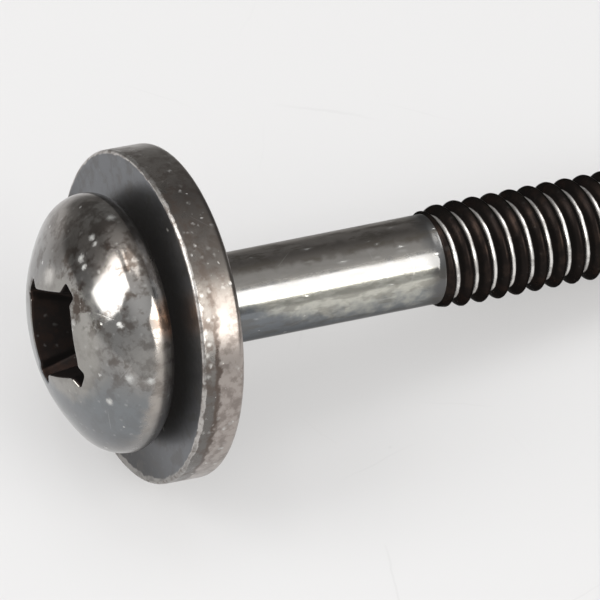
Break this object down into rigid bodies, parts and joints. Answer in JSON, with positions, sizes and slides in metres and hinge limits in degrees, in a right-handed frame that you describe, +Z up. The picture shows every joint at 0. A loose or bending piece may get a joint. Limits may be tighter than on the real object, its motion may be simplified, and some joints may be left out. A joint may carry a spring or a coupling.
{
  "type": "machine screw with captive washer",
  "caption": "Dark plated round head machine screw with a cross recess, a plain reduced shank, a right-hand thread and a thick flat washer trapped on the shank.",
  "frame": {"origin": "on the table under the middle of the part's box, as it lies at rest", "axes": "+Z up; +X along the screw from the head to the tip, whose axis dips about 11 degrees below +X; +Y across"},
  "size_m": [0.0288, 0.013, 0.0132],
  "materials": {
    "screw": "dark nickel plate, polished, pitted and worn",
    "washer": "dark nickel plate, satin faces, speckled rim"
  },
  "bodies": {
    "screw": {"screw": "screw"},
    "washer": {"washer": "washer"}
  },
  "joints": [
    {"name": "washer_slide", "type": "slide", "parent": "screw", "child": "washer", "axis": [0.9808, 0, -0.1949], "range_m": [-0.00005, 0.0107]}
  ]
}
